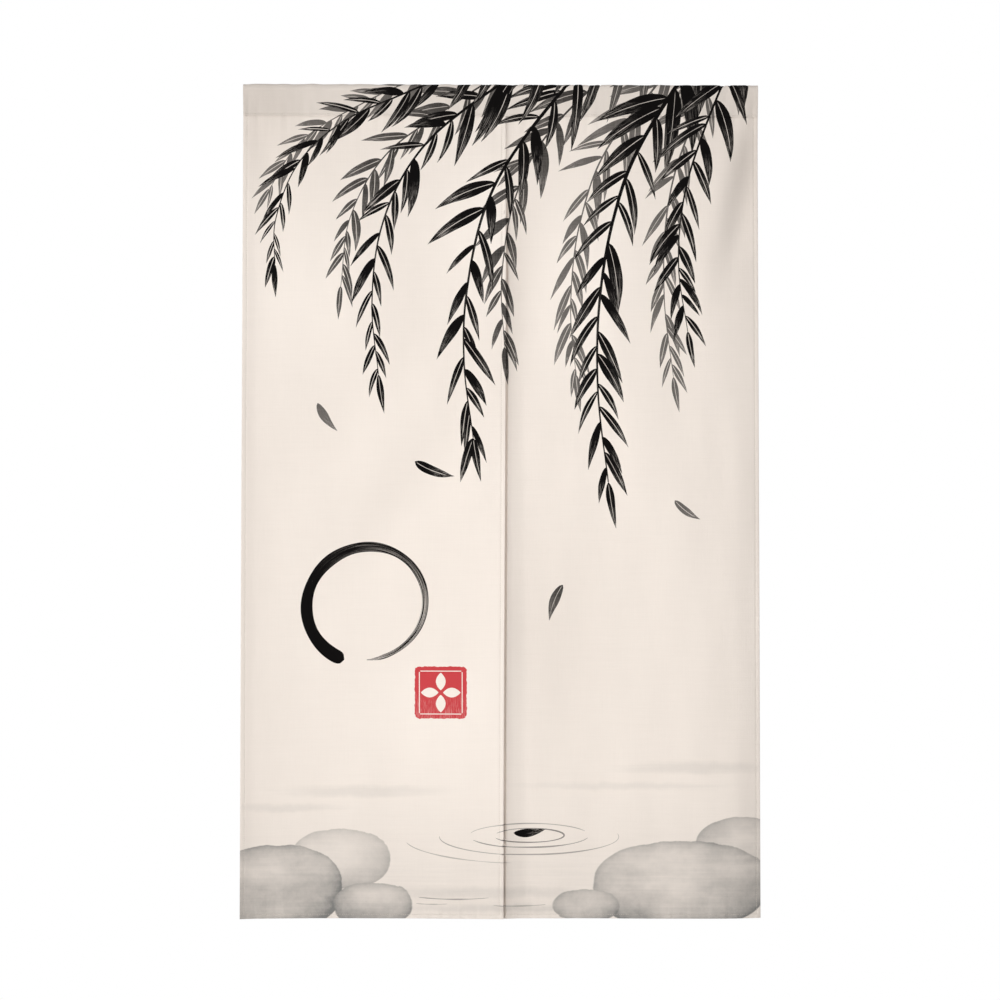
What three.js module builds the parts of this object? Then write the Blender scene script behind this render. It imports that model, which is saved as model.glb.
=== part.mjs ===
// A noren: a doorway curtain of two cloth panels that overlap a little, under a sleeve that takes a rod.
// Millimetres, +Z up, the printed face towards -Y. The origin is the middle of the top edge.
// Depths are measured forward, towards the viewer, from the plane of the rod.
import * as THREE from "three";

// The outline as it hangs: it widens a little downwards, and its top edge drops towards the right.
const TOP_WIDTH = 792;
const HEM_WIDTH = 802;
const DROP = 1284;
const TOP_TILT = 0.003;

// The cloth, its turned hems, and the room left between pieces.
const CLOTH = 1.2;
const HEM_CLOTH = 2;
const SIDE_HEM = 8;
const BOTTOM_HEM = 8;
const HEM_STEP = 0.8;
const HEM_STATIONS = 2;
const GAP = 0.3;

// The sleeve hangs from a round rod, so its section is a teardrop that closes at the seam.
const SLEEVE_HEIGHT = 48;
const SEAM_BAND = 4.5;
const SEAM_HALF = 1.6;
const ROD_ROOM_RADIUS = 8;
const ROD_ROOM_TOE = 0.3;
const ARC_SEGMENTS = 20;

// The left panel lies over the right one. They are sewn together down to the slit's top.
const SLIT_TOP = 196;
const SLIT_X_TOP = 8.5;
const SLIT_X_HEM = 4.6;
const OVERLAP_TOP = 18;
const OVERLAP_HEM = 9;

// How far down the folds' four levels are, and how finely a panel is divided.
const LEVELS = { seam: SLEEVE_HEIGHT, slit: SLIT_TOP, middle: 640, hem: DROP };
const COLUMNS = 32;
const ROWS = 30;

// Each row is one fold line down a panel: where it is across the width, and its depth at each level.
const LEFT_FOLDS = [
  { across: 0, seam: 0.2, slit: 4, middle: 12, hem: 13 },
  { across: 0.055, seam: 0.1, slit: 1.2, middle: 5, hem: 6 },
  { across: 0.15, seam: 0.3, slit: 0.4, middle: 0.5, hem: 1 },
  { across: 0.34, seam: 0.5, slit: 0.6, middle: -3, hem: -2 },
  { across: 0.56, seam: 0.7, slit: 1.2, middle: -2, hem: -0.5 },
  { across: 0.78, seam: 1.2, slit: 1.2, middle: 2.5, hem: 4.5 },
  { across: 1, seam: 1.9, slit: 3.4, middle: 10, hem: 12 },
];
const RIGHT_FOLDS = [
  { across: 0, seam: -0.8, slit: 0, middle: 6.6, hem: 7.5 },
  { across: 0.035, seam: -0.8, slit: 0, middle: 5.2, hem: 6 },
  { across: 0.06, seam: -0.7, slit: -0.6, middle: 2.6, hem: 3 },
  { across: 0.115, seam: -0.2, slit: -1, middle: -0.6, hem: -0.8 },
  { across: 0.32, seam: 0.6, slit: 2.6, middle: -0.6, hem: -1 },
  { across: 0.56, seam: 0.4, slit: 4.2, middle: 2.5, hem: 3 },
  { across: 0.77, seam: 0.3, slit: 5.4, middle: 4.2, hem: 5 },
  { across: 0.9, seam: 0, slit: 0, middle: 2, hem: 2 },
  { across: 1, seam: -1, slit: -6, middle: -5, hem: -7.5 },
];

// Soft ridges and troughs that cross the folds, such as the drag lines from the two top corners.
const CREASES = [
  { fromX: 396, fromZ: -64, toX: 340, toZ: -360, width: 21, rise: -4.5 },
  { fromX: 360, fromZ: -70, toX: 304, toZ: -360, width: 24, rise: 3.6 },
  { fromX: -372, fromZ: -60, toX: -330, toZ: -270, width: 22, rise: -3 },
  { fromX: 96, fromZ: -190, toX: 326, toZ: -880, width: 58, rise: 4 },
  { fromX: -70, fromZ: -560, toX: -300, toZ: -850, width: 42, rise: -4.5 },
  { fromX: -60, fromZ: -420, toX: -340, toZ: -740, width: 46, rise: 3.5 },
];

// The shares of a crease's length over which it comes in, and over which it dies away.
const CREASE_START = [-0.1, 0.18];
const CREASE_END = [0.35, 1.05];

const clothMaterial = new THREE.MeshStandardMaterial({
  color: 0xf5ece2,
  roughness: 0.95,
  metalness: 0,
});

const mix = (a, b, t) => a + (b - a) * t;

function smooth(from, to, value) {
  const t = Math.min(1, Math.max(0, (value - from) / (to - from)));
  return t * t * (3 - 2 * t);
}

// A curve through the points that never swings past them.
function curveThrough(points, x) {
  const last = points.length - 1;
  const slopes = [];
  for (let i = 0; i < last; i++) {
    slopes.push((points[i + 1][1] - points[i][1]) / (points[i + 1][0] - points[i][0]));
  }
  const tangent = (i) => {
    if (i === 0) return slopes[0];
    if (i === last) return slopes[last - 1];
    const product = slopes[i - 1] * slopes[i];
    return product <= 0 ? 0 : (2 * product) / (slopes[i - 1] + slopes[i]);
  };
  let i = 0;
  while (i < last - 1 && x > points[i + 1][0]) i++;
  const span = points[i + 1][0] - points[i][0];
  const t = Math.min(1, Math.max(0, (x - points[i][0]) / span));
  const t2 = t * t;
  const t3 = t2 * t;
  return (
    points[i][1] * (2 * t3 - 3 * t2 + 1) +
    points[i + 1][1] * (3 * t2 - 2 * t3) +
    tangent(i) * span * (t3 - 2 * t2 + t) +
    tangent(i + 1) * span * (t3 - t2)
  );
}

// How far the folds bring the cloth forward, at a share of the panel's width and a height.
function foldDepth(folds, across, z) {
  const atLevels = Object.entries(LEVELS).map(([level, down]) => [
    down,
    curveThrough(folds.map((fold) => [fold.across, fold[level]]), across),
  ]);
  return curveThrough(atLevels, -z);
}

// How far the creases bring it forward: full near the start of each and fading towards its end.
function creaseDepth(x, z) {
  let depth = 0;
  for (const c of CREASES) {
    const alongX = c.toX - c.fromX;
    const alongZ = c.toZ - c.fromZ;
    const length = Math.hypot(alongX, alongZ);
    const along = ((x - c.fromX) * alongX + (z - c.fromZ) * alongZ) / (length * length);
    const aside = ((x - c.fromX) * alongZ - (z - c.fromZ) * alongX) / length;
    const fade = smooth(...CREASE_START, along) * (1 - smooth(...CREASE_END, along));
    depth += c.rise * Math.exp(-((aside / c.width) ** 2)) * fade;
  }
  return depth;
}

const topEdge = (x) => -SLEEVE_HEIGHT - GAP - TOP_TILT * x;
const halfWidth = (z) => mix(TOP_WIDTH, HEM_WIDTH, -z / DROP) / 2;
const slitX = (z) => mix(SLIT_X_TOP, SLIT_X_HEM, smooth(SLIT_TOP, DROP, -z));
const overlap = (z) => mix(OVERLAP_TOP, OVERLAP_HEM, smooth(SLIT_TOP, DROP, -z));

const LEFT_PANEL = { folds: LEFT_FOLDS, from: (z) => -halfWidth(z), to: slitX };
const RIGHT_PANEL = { folds: RIGHT_FOLDS, from: (z) => slitX(z) - overlap(z), to: halfWidth };

// Even stations from 0 to length, with two more at each hem's inner edge, where the cloth thickens.
function stations(length, count, firstHem, lastHem) {
  const half = HEM_STEP / 2;
  const low = firstHem ? [0, firstHem - half] : [];
  const high = lastHem ? [length - lastHem + half, length] : [];
  const from = firstHem ? firstHem + half : 0;
  const to = lastHem ? length - lastHem - half : length;
  const even = Array.from({ length: count + 1 }, (_, i) => mix(from, to, i / count));
  return [...low, ...even, ...high].map((at) => at / length);
}

// A closed sheet from two grids of points, front and back, that run rightwards and then downwards.
function closedSheet(columns, rows, frontPoint, backPoint) {
  const wide = columns.length;
  const tall = rows.length;
  const positions = [];
  for (const point of [frontPoint, backPoint]) {
    for (let j = 0; j < tall; j++) {
      for (let i = 0; i < wide; i++) positions.push(...point(i, j));
    }
  }
  const front = (i, j) => j * wide + i;
  const back = (i, j) => wide * tall + front(i, j);
  const triangles = [];
  for (let j = 0; j < tall - 1; j++) {
    for (let i = 0; i < wide - 1; i++) {
      const face = [[i, j], [i, j + 1], [i + 1, j + 1], [i + 1, j]];
      const [a, d, c, b] = face.map(([p, q]) => front(p, q));
      const [e, h, g, f] = face.map(([p, q]) => back(p, q));
      triangles.push(a, d, c, a, c, b, e, g, h, e, f, g);
    }
  }
  const rim = [];
  for (let j = 0; j < tall - 1; j++) rim.push([0, j]);
  for (let i = 0; i < wide - 1; i++) rim.push([i, tall - 1]);
  for (let j = tall - 1; j > 0; j--) rim.push([wide - 1, j]);
  for (let i = wide - 1; i > 0; i--) rim.push([i, 0]);
  rim.forEach((start, k) => {
    const end = rim[(k + 1) % rim.length];
    triangles.push(front(...end), front(...start), back(...start));
    triangles.push(front(...end), back(...start), back(...end));
  });
  return new THREE.BufferGeometry()
    .setAttribute("position", new THREE.Float32BufferAttribute(positions, 3))
    .setIndex(triangles);
}

// One panel: its folds are in its front, and its back is a cloth's or a hem's thickness behind.
function panelGeometry(panel) {
  const meanWidth = panel.to(-DROP / 2) - panel.from(-DROP / 2);
  const length = DROP - SLEEVE_HEIGHT - GAP;
  const columns = stations(meanWidth, COLUMNS, SIDE_HEM, SIDE_HEM);
  const rows = stations(length, ROWS, 0, BOTTOM_HEM);
  const isHem = (i, j) =>
    Math.min(i, columns.length - 1 - i, rows.length - 1 - j) < HEM_STATIONS;
  const point = (thickness) => (i, j) => {
    const level = mix(topEdge(0), -DROP, rows[j]);
    const x = mix(panel.from(level), panel.to(level), columns[i]);
    const z = mix(topEdge(x), -DROP, rows[j]);
    const forward = foldDepth(panel.folds, columns[i], z) + creaseDepth(x, z);
    return [x, thickness(i, j) - forward, z];
  };
  const front = point(() => 0);
  const back = point((i, j) => (isHem(i, j) ? HEM_CLOTH : CLOTH));
  return closedSheet(columns, rows, front, back);
}

// A teardrop outline: round the rod's circle, then straight down both sides to a narrow toe.
function teardrop(path, radius, centre, toeHalf, toe) {
  const reach = Math.hypot(toeHalf, toe - centre);
  const leave = Math.atan2(toe - centre, toeHalf) + Math.acos(radius / reach);
  path.moveTo(toeHalf, toe);
  path.lineTo(radius * Math.cos(leave), centre + radius * Math.sin(leave));
  path.absarc(0, centre, radius, leave, Math.PI - leave, false);
  path.lineTo(-toeHalf, toe);
  path.closePath();
  return path;
}

// The sleeve: the teardrop with the rod's room cut out of it, drawn out along X.
function sleeveGeometry() {
  const outerRadius = ROD_ROOM_RADIUS + CLOTH;
  const centre = -outerRadius;
  const section = teardrop(new THREE.Shape(), outerRadius, centre, SEAM_HALF, -SLEEVE_HEIGHT);
  const roomToe = SEAM_BAND - SLEEVE_HEIGHT;
  section.holes.push(teardrop(new THREE.Path(), ROD_ROOM_RADIUS, centre, ROD_ROOM_TOE, roomToe));
  const width = 2 * halfWidth(-SLEEVE_HEIGHT / 2);
  const geometry = new THREE.ExtrudeGeometry(section, {
    depth: width,
    steps: 1,
    bevelEnabled: false,
    curveSegments: ARC_SEGMENTS,
  });
  geometry.translate(0, 0, -width / 2);
  const sectionAxes = new THREE.Matrix4().makeBasis(
    new THREE.Vector3(0, 1, 0),
    new THREE.Vector3(0, 0, 1),
    new THREE.Vector3(1, 0, 0),
  );
  return geometry.applyMatrix4(sectionAxes);
}

function named(name, geometry) {
  const mesh = new THREE.Mesh(geometry, clothMaterial);
  mesh.name = name;
  return mesh;
}

const noren = new THREE.Group();
const sleeve = named("rod_sleeve", sleeveGeometry());
sleeve.rotation.y = Math.asin(TOP_TILT);
noren.add(sleeve);
noren.add(named("left_panel", panelGeometry(LEFT_PANEL)));
noren.add(named("right_panel", panelGeometry(RIGHT_PANEL)));

export default noren;
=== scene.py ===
import math
from collections import namedtuple

import bpy
import numpy as np
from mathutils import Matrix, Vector
from mathutils.geometry import delaunay_2d_cdt


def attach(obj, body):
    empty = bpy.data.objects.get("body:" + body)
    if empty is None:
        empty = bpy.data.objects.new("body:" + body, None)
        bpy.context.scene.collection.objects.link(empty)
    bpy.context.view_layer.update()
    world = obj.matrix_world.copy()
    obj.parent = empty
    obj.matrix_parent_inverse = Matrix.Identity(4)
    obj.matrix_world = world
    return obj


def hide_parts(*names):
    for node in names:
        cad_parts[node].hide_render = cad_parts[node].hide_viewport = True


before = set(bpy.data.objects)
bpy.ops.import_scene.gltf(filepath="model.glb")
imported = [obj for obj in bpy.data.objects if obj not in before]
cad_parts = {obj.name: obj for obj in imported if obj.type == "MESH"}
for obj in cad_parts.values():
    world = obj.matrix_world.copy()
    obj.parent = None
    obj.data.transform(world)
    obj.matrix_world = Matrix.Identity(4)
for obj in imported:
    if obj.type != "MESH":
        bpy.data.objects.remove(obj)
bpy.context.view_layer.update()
MM = 0.001

# The outline as it hangs, and the levels at which the folds' depths are given.
TOP_WIDTH = 792
HEM_WIDTH = 802
DROP = 1284
TOP_TILT = 0.003
GAP = 0.3
SLEEVE_HEIGHT = 48
SLIT_TOP = 196
SLIT_X_TOP = 8.5
SLIT_X_HEM = 4.6
OVERLAP_TOP = 18
OVERLAP_HEM = 9
LEVELS = (SLEEVE_HEIGHT, SLIT_TOP, 640, DROP)

# Each row is one fold line down a panel: its place across the width, then its depth at each level.
LEFT_FOLDS = (
    (0, 0.2, 4, 12, 13),
    (0.055, 0.1, 1.2, 5, 6),
    (0.15, 0.3, 0.4, 0.5, 1),
    (0.34, 0.5, 0.6, -3, -2),
    (0.56, 0.7, 1.2, -2, -0.5),
    (0.78, 1.2, 1.2, 2.5, 4.5),
    (1, 1.9, 3.4, 10, 12),
)
RIGHT_FOLDS = (
    (0, -0.8, 0, 6.6, 7.5),
    (0.035, -0.8, 0, 5.2, 6),
    (0.06, -0.7, -0.6, 2.6, 3),
    (0.115, -0.2, -1, -0.6, -0.8),
    (0.32, 0.6, 2.6, -0.6, -1),
    (0.56, 0.4, 4.2, 2.5, 3),
    (0.77, 0.3, 5.4, 4.2, 5),
    (0.9, 0, 0, 2, 2),
    (1, -1, -6, -5, -7.5),
)

# Soft ridges and troughs: from x, from z, to x, to z, width and rise.
CREASES = (
    (396, -64, 340, -360, 21, -4.5),
    (360, -70, 304, -360, 24, 3.6),
    (-372, -60, -330, -270, 22, -3),
    (96, -190, 326, -880, 58, 4),
    (-70, -560, -300, -850, 42, -4.5),
    (-60, -420, -340, -740, 46, 3.5),
)
CREASE_START = (-0.1, 0.18)
CREASE_END = (0.35, 1.05)

# Shallow waves all over the cloth: rise, turns per metre across, turns per metre down, and start.
WAVES = (
    (0.32, 7.3, 1.1, 0.4),
    (0.24, 12.1, -2.3, 2.1),
    (0.2, 3.1, 4.9, 4.0),
    (0.12, 19.7, 3.7, 1.2),
)

# The cloth as seen: thinner than its solid, doubled at the hems, and sewn near their inner edge.
CLOTH = 0.9
HEM_CLOTH = 1.9
HEM = 8
HEM_STEP = 0.8
SEWN_AT = 6.2
GROOVE = 0.4
GROOVE_WIDTH = 0.9
GRID = 4.5


def mix(a, b, t):
    return a + (b - a) * t


def smooth(low, high, value):
    t = np.clip((value - low) / (high - low), 0, 1)
    return t * t * (3 - 2 * t)


def curve_through(at, values, x):
    """A curve through the points that never swings past them. A value may be an array like x."""
    values = [np.broadcast_to(np.asarray(v, float), x.shape) for v in values]
    last = len(at) - 1
    slopes = [(values[i + 1] - values[i]) / (at[i + 1] - at[i]) for i in range(last)]
    tangents = [slopes[0]]
    for before, after in zip(slopes, slopes[1:]):
        product = before * after
        total = np.where(product > 0, before + after, 1)
        tangents.append(np.where(product > 0, 2 * product / total, 0))
    tangents.append(slopes[-1])
    result = np.zeros(x.shape)
    for i in range(last):
        span = at[i + 1] - at[i]
        t = np.clip((x - at[i]) / span, 0, 1)
        t2 = t * t
        t3 = t2 * t
        part = (
            values[i] * (2 * t3 - 3 * t2 + 1)
            + values[i + 1] * (3 * t2 - 2 * t3)
            + tangents[i] * span * (t3 - 2 * t2 + t)
            + tangents[i + 1] * span * (t3 - t2)
        )
        result = part if i == 0 else np.where(x > at[i], part, result)
    return result


def fold_depth(folds, across, z):
    """How far the folds bring the cloth forward, at a share of the width and a height."""
    at, *depths = zip(*folds)
    levels = [curve_through(at, row, across) for row in depths]
    return curve_through(LEVELS, levels, -z)


def crease_depth(x, z):
    """How far the creases bring it forward. Each comes in gently and dies away at its end."""
    depth = np.zeros(x.shape)
    for from_x, from_z, to_x, to_z, width, rise in CREASES:
        along_x = to_x - from_x
        along_z = to_z - from_z
        length = math.hypot(along_x, along_z)
        along = ((x - from_x) * along_x + (z - from_z) * along_z) / length**2
        aside = ((x - from_x) * along_z - (z - from_z) * along_x) / length
        fade = smooth(*CREASE_START, along) * (1 - smooth(*CREASE_END, along))
        depth += rise * np.exp(-((aside / width) ** 2)) * fade
    return depth


def wave_depth(x, z):
    depth = np.zeros(x.shape)
    for rise, across, down, start in WAVES:
        depth += rise * np.sin(2 * math.pi * MM * (across * x + down * z) + start)
    return depth


def top_edge(x):
    return -SLEEVE_HEIGHT - GAP - TOP_TILT * x


def half_width(z):
    return mix(TOP_WIDTH, HEM_WIDTH, -z / DROP) / 2


def slit_x(z):
    return mix(SLIT_X_TOP, SLIT_X_HEM, smooth(SLIT_TOP, DROP, -z))


def overlap(z):
    return mix(OVERLAP_TOP, OVERLAP_HEM, smooth(SLIT_TOP, DROP, -z))


# A panel's folds, and where its left and right edges run.
Panel = namedtuple("Panel", "folds low high")
LEFT = Panel(LEFT_FOLDS, lambda z: -half_width(z), slit_x)
RIGHT = Panel(RIGHT_FOLDS, lambda z: slit_x(z) - overlap(z), half_width)


def mean_width(panel):
    return panel.high(-DROP / 2) - panel.low(-DROP / 2)


# Where the right panel falls back behind the left one's edge: depth, place beside it, and width.
SLIT_TROUGH = (4.4, 0.9, 1.8)
SLIT_TROUGH_TOP = (150, 215)


def slit_trough(x, z):
    depth, beside, width = SLIT_TROUGH
    away = (x - slit_x(z) - beside) / width
    return depth * np.exp(-(away**2)) * smooth(*SLIT_TROUGH_TOP, -z)


# How a sewn line draws the cloth up beside it: rise, spacing of the puckers, and reach.
SEAM_PUCKER = (0.35, 23, 26)
HEM_PUCKER = (0.3, 17, 20)
SIDE_PUCKER = (0.16, 29, 14)
# A second wave makes them uneven: its share, its turns for each turn of the first, and its start.
SECOND_WAVE = (0.6, 1.63, 1.1)


def pucker(size, along, away):
    rise, spacing, reach = size
    share, faster, start = SECOND_WAVE
    turns = along / spacing
    wave = np.sin(2 * math.pi * turns) + share * np.sin(2 * math.pi * faster * turns + start)
    return rise * wave * np.exp(-np.maximum(away, 0) / reach)


def rounded(distance, radius):
    """How far a rounded edge has drawn in at this distance from it."""
    gone = np.clip(1 - distance / radius, 0, 1)
    return radius * (1 - np.sqrt(np.maximum(0, 1 - gone * gone)))


def panel_place(panel, x, z, side):
    """The panel's printed face where side is 0, and its back where side is 1."""
    left = x - panel.low(z)
    right = panel.high(z) - x
    bottom = z + DROP
    top = top_edge(x) - z
    across = left / (left + right)
    forward = fold_depth(panel.folds, across, z) + crease_depth(x, z) + wave_depth(x, z)
    if panel is RIGHT:
        forward -= slit_trough(x, z)
    forward += pucker(SEAM_PUCKER, x, top)
    forward += pucker(HEM_PUCKER, x, bottom)
    forward += pucker(SIDE_PUCKER, z, np.minimum(left, right))
    hem = np.minimum(np.minimum(left, right), bottom)
    groove = GROOVE * np.exp(-(((hem - SEWN_AT) / GROOVE_WIDTH) ** 2))
    half_step = HEM_STEP / 2
    thick = mix(HEM_CLOTH, CLOTH, smooth(HEM - half_step, HEM + half_step, hem))
    drawn_in = rounded(np.minimum(hem, top), thick / 2)
    front = -forward + groove + drawn_in
    back = -forward + thick - groove - drawn_in
    return np.stack([x, np.where(side > 0, back, front), z], axis=1)


# The sleeve: a teardrop section, measured along the cloth from its front lip up, over and down.
ROD_ROOM = 8
SOLID_CLOTH = 1.2
SLEEVE_CLOTH = 1.0
SLEEVE_RADIUS = ROD_ROOM + SOLID_CLOTH
LIP_Z = -SLEEVE_HEIGHT - 0.9
LIP_CLEAR = 0.12
BACK_TOE = 3.2
LIP_BLEND = 46
SLEEVE_SEWN = 3.0
SLEEVE_WIDTH = 2 * half_width(-SLEEVE_HEIGHT / 2)
# The sleeve's small waves: rise, spacing, and start. Each drifts sideways on its way round.
SLEEVE_RUFFLE = (
    (0.3, 41, 0.3),
    (0.22, 67, 1.9),
    (0.16, 23, 3.1),
)
RUFFLE_DRIFT = 30


def lip_forward(x):
    """How far forward the sleeve's front lip lies: just clear of the panels behind it."""
    # A millimetre inside the panels' edges, which are rounded.
    z = top_edge(x) - 1
    ends = half_width(z) - 1
    inside = np.clip(x, -ends, ends)
    on_left = np.minimum(inside, SLIT_X_TOP - 1)
    on_right = np.maximum(inside, SLIT_X_TOP - OVERLAP_TOP + 1)
    left = -panel_place(LEFT, on_left, z, 0)[:, 1]
    right = -panel_place(RIGHT, on_right, z, 0)[:, 1]
    depth = mix(left, right, smooth(SLIT_X_TOP, SLIT_X_TOP + LIP_BLEND, x))
    return depth + LIP_CLEAR + SLEEVE_CLOTH


def wall(toe):
    """The angle at which a straight wall from this toe leaves the rod's circle, and its length."""
    rise = -SLEEVE_RADIUS - LIP_Z
    reach = np.hypot(toe, rise)
    leave = np.arctan2(rise, toe) - np.arccos(SLEEVE_RADIUS / reach)
    return leave, np.sqrt(reach**2 - SLEEVE_RADIUS**2)


NOMINAL_TOE = 2.4
WALL_ANGLE, WALL_LENGTH = wall(NOMINAL_TOE)
ARC_LENGTH = SLEEVE_RADIUS * (math.pi + 2 * WALL_ANGLE)
SLEEVE_GIRTH = 2 * WALL_LENGTH + ARC_LENGTH


def sleeve_line(x, s):
    """Where the sleeve's outer face runs: how far forward, how far up, and the angle it faces."""
    lip = lip_forward(x)
    over = np.clip((s - WALL_LENGTH) / ARC_LENGTH, 0, 1)
    angle = mix(-wall(lip)[0], math.pi + wall(BACK_TOE)[0], over)
    toe = np.where(s < SLEEVE_GIRTH / 2, lip, -BACK_TOE)
    climbed = np.clip(np.minimum(s, SLEEVE_GIRTH - s) / WALL_LENGTH, 0, 1)
    forward = mix(toe, SLEEVE_RADIUS * np.cos(angle), climbed)
    up = mix(LIP_Z, SLEEVE_RADIUS * (np.sin(angle) - 1), climbed)
    return forward, up, angle


def sleeve_ruffle(x, s):
    """How far the sleeve's small waves stand out. They die away at both its edges."""
    wave = sum(
        rise * np.sin(2 * math.pi * x / spacing + start + s / RUFFLE_DRIFT)
        for rise, spacing, start in SLEEVE_RUFFLE
    )
    return wave * np.sin(math.pi * np.clip(s, 0, SLEEVE_GIRTH) / SLEEVE_GIRTH)


def sleeve_place(x, s, side):
    """The sleeve's outer face where side is 0, and the rod channel's wall where side is 1."""
    from_lip = np.minimum(s, SLEEVE_GIRTH - s)
    from_edge = np.minimum(SLEEVE_WIDTH / 2 - np.abs(x), from_lip)
    drawn_in = rounded(from_edge, SLEEVE_CLOTH / 2)
    sewn = GROOVE * np.exp(-(((from_lip - SLEEVE_SEWN) / GROOVE_WIDTH) ** 2))
    thinner = sewn + drawn_in
    out = sleeve_ruffle(x, s) + np.where(side > 0, thinner - SLEEVE_CLOTH, -thinner)
    forward, up, angle = sleeve_line(x, np.clip(s, 0, SLEEVE_GIRTH))
    y = -(forward + out * np.cos(angle))
    z = up + out * np.sin(angle) - TOP_TILT * x
    return np.stack([x, y, z], axis=1)


def sleeve_height(z):
    """How far along the sleeve's cloth a height on its front lies, or a point past its top."""
    leave_z = SLEEVE_RADIUS * np.sin(-WALL_ANGLE) - SLEEVE_RADIUS
    on_wall = (z - LIP_Z) / (leave_z - LIP_Z) * WALL_LENGTH
    lift = np.clip((z + SLEEVE_RADIUS) / SLEEVE_RADIUS, -1, 1)
    on_arc = WALL_LENGTH + SLEEVE_RADIUS * (np.arcsin(lift) + WALL_ANGLE)
    beyond = WALL_LENGTH + ARC_LENGTH / 2 + z
    return np.where(z < leave_z, on_wall, np.where(z < 0, on_arc, beyond))


TINY = 1e-12


# A brush stroke: its middle line, its outline, its ink, rib, dryness and red, and its seed.
Stroke = namedtuple("Stroke", "line outline look seed")


def stroke(line, half, ink=1.0, rib=0.0, dry=0.0, red=0.0, seed=0.0):
    """A stroke along a line with these half widths."""
    return Stroke(line, outline_of(line, half), (ink, rib, dry, red), seed)


def through(points, count):
    """A smooth line through the points, with this many points in all."""
    points = np.asarray(points, float)
    padded = np.vstack([2 * points[0] - points[1], points, 2 * points[-1] - points[-2]])
    at = np.linspace(0, len(points) - 1 - 1e-9, count)
    i = at.astype(int)
    t = (at - i)[:, None]
    p0, p1, p2, p3 = (padded[i + k] for k in range(4))
    ahead = (p2 - p0) * t
    bend = (2 * p0 - 5 * p1 + 4 * p2 - p3) * t**2
    turn = (3 * p1 - p0 - 3 * p2 + p3) * t**3
    return (2 * p1 + ahead + bend + turn) / 2


def flat_line(x, z):
    """Points on the flat cloth, one a row. Either may be a single number."""
    return np.stack(np.broadcast_arrays(x, z), axis=1)


def unit(rows):
    """Each row as a direction of length 1."""
    return rows / np.maximum(np.linalg.norm(rows, axis=1), TINY)[:, None]


def tangents_of(line):
    return unit(np.gradient(line, axis=0))


def distance_along(line):
    """How far each point of a line is from its start, along it."""
    return np.concatenate([[0], np.cumsum(np.linalg.norm(np.diff(line, axis=0), axis=1))])


def heading_of(way):
    """The angle of a direction on the cloth, in radians from straight down."""
    return math.atan2(way[0], -way[1])


# An end narrower than this comes to a point.
SHARP = 0.15


def outline_of(line, half):
    """A stroke's outline, anticlockwise, with one point where an end is sharp."""
    along = tangents_of(line)
    side = flat_line(-along[:, 1], along[:, 0]) * half[:, None]
    sharp_start = int(half[0] < SHARP)
    sharp_end = int(half[-1] < SHARP)
    right = (line - side)[sharp_start : len(line) - sharp_end]
    left = (line + side)[sharp_start : len(line) - sharp_end]
    start = line[:sharp_start]
    end = line[len(line) - sharp_end :]
    return np.vstack([start, right, end, left[::-1]])


LEAF_POINTS = 17
# A leaf's width goes as the way along it to the first power, times what is left to the second.
LEAF_SHAPE = (0.66, 1.12)
LEAF_UNEVEN = 0.06
LEAF_WAVES = 9
LEAF_DRY = 0.5
RIB_CHANCE = 0.7
RIB_STRENGTH = (0.7, 1.1)
PALEST_SHARE = 0.985
SEEDS = 60


def leaf(base, angle, length, width, bend, ink, rng):
    """A leaf from its base at an angle, in radians from straight down, that bends on its way."""
    t = np.linspace(0, 1, LEAF_POINTS)
    heading = angle + bend * t
    moves = flat_line(np.sin(heading), -np.cos(heading)) * length / (LEAF_POINTS - 1)
    line = np.asarray(base) + np.vstack([[0, 0], np.cumsum(moves[:-1], axis=0)])
    a, b = LEAF_SHAPE
    peak = a / (a + b)
    shape = t**a * (1 - t) ** b / (peak**a * (1 - peak) ** b)
    uneven = 1 + LEAF_UNEVEN * np.sin(LEAF_WAVES * t + rng.uniform(0, 6))
    rib = rng.uniform(*RIB_STRENGTH) if rng.random() < RIB_CHANCE else 0.0
    tone = ink * rng.uniform(PALEST_SHARE, 1.0)
    half = width / 2 * shape * uneven
    return stroke(line, half, tone, rib, LEAF_DRY, seed=rng.uniform(0, SEEDS))


# The sprays hang from the top right: the stem's points, thickness and ink, and its leaves' size.
GREY = 0.885
PALE = 0.81
SPRAYS = (
    (((322, 86), (176, -80), (124, -206), (108, -336), (116, -446)), 3.2, PALE, 84),
    (((96, 78), (-92, -44), (-180, -112), (-232, -206), (-246, -310)), 3.0, GREY, 74),
    (((366, 86), (286, -84), (256, -200), (252, -330), (266, -450)), 3.4, PALE, 80),
    (((246, 88), (86, -60), (24, -170), (2, -296), (6, -404)), 3.4, GREY, 84),
    (((40, 76), (-90, 26), (-214, -30), (-306, -86), (-356, -160)), 2.8, PALE, 66),
    (((182, 88), (44, -72), (-22, -186), (-52, -318), (-56, -430), (-42, -544)), 5.6, 1.0, 98),
    (((330, 88), (218, -88), (174, -206), (152, -338), (150, -474), (166, -612)), 6.6, 1.0, 104),
    (((136, 84), (-52, -36), (-136, -118), (-184, -222), (-198, -338), (-188, -446)), 4.4, 1.0, 88),
    (((376, 84), (312, -74), (282, -176), (274, -280), (288, -380)), 3.8, 1.0, 82),
    (((66, 80), (-40, 30), (-148, -14), (-244, -58), (-312, -122), (-346, -206), (-348, -276)),
     3.6, 1.0, 74),
)
# Leaves that have come loose: x, z, angle in degrees, length, and ink.
LOOSE_LEAVES = (
    (-132, -580, 56, 66, 1.0),
    (96, -770, -34, 60, GREY),
    (-282, -490, 22, 54, PALE),
    (268, -640, 40, 50, PALE),
    (20, -1152, 84, 52, 1.0),
)
LOOSE_WIDTH = 0.24
LOOSE_BEND = 0.5

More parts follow.
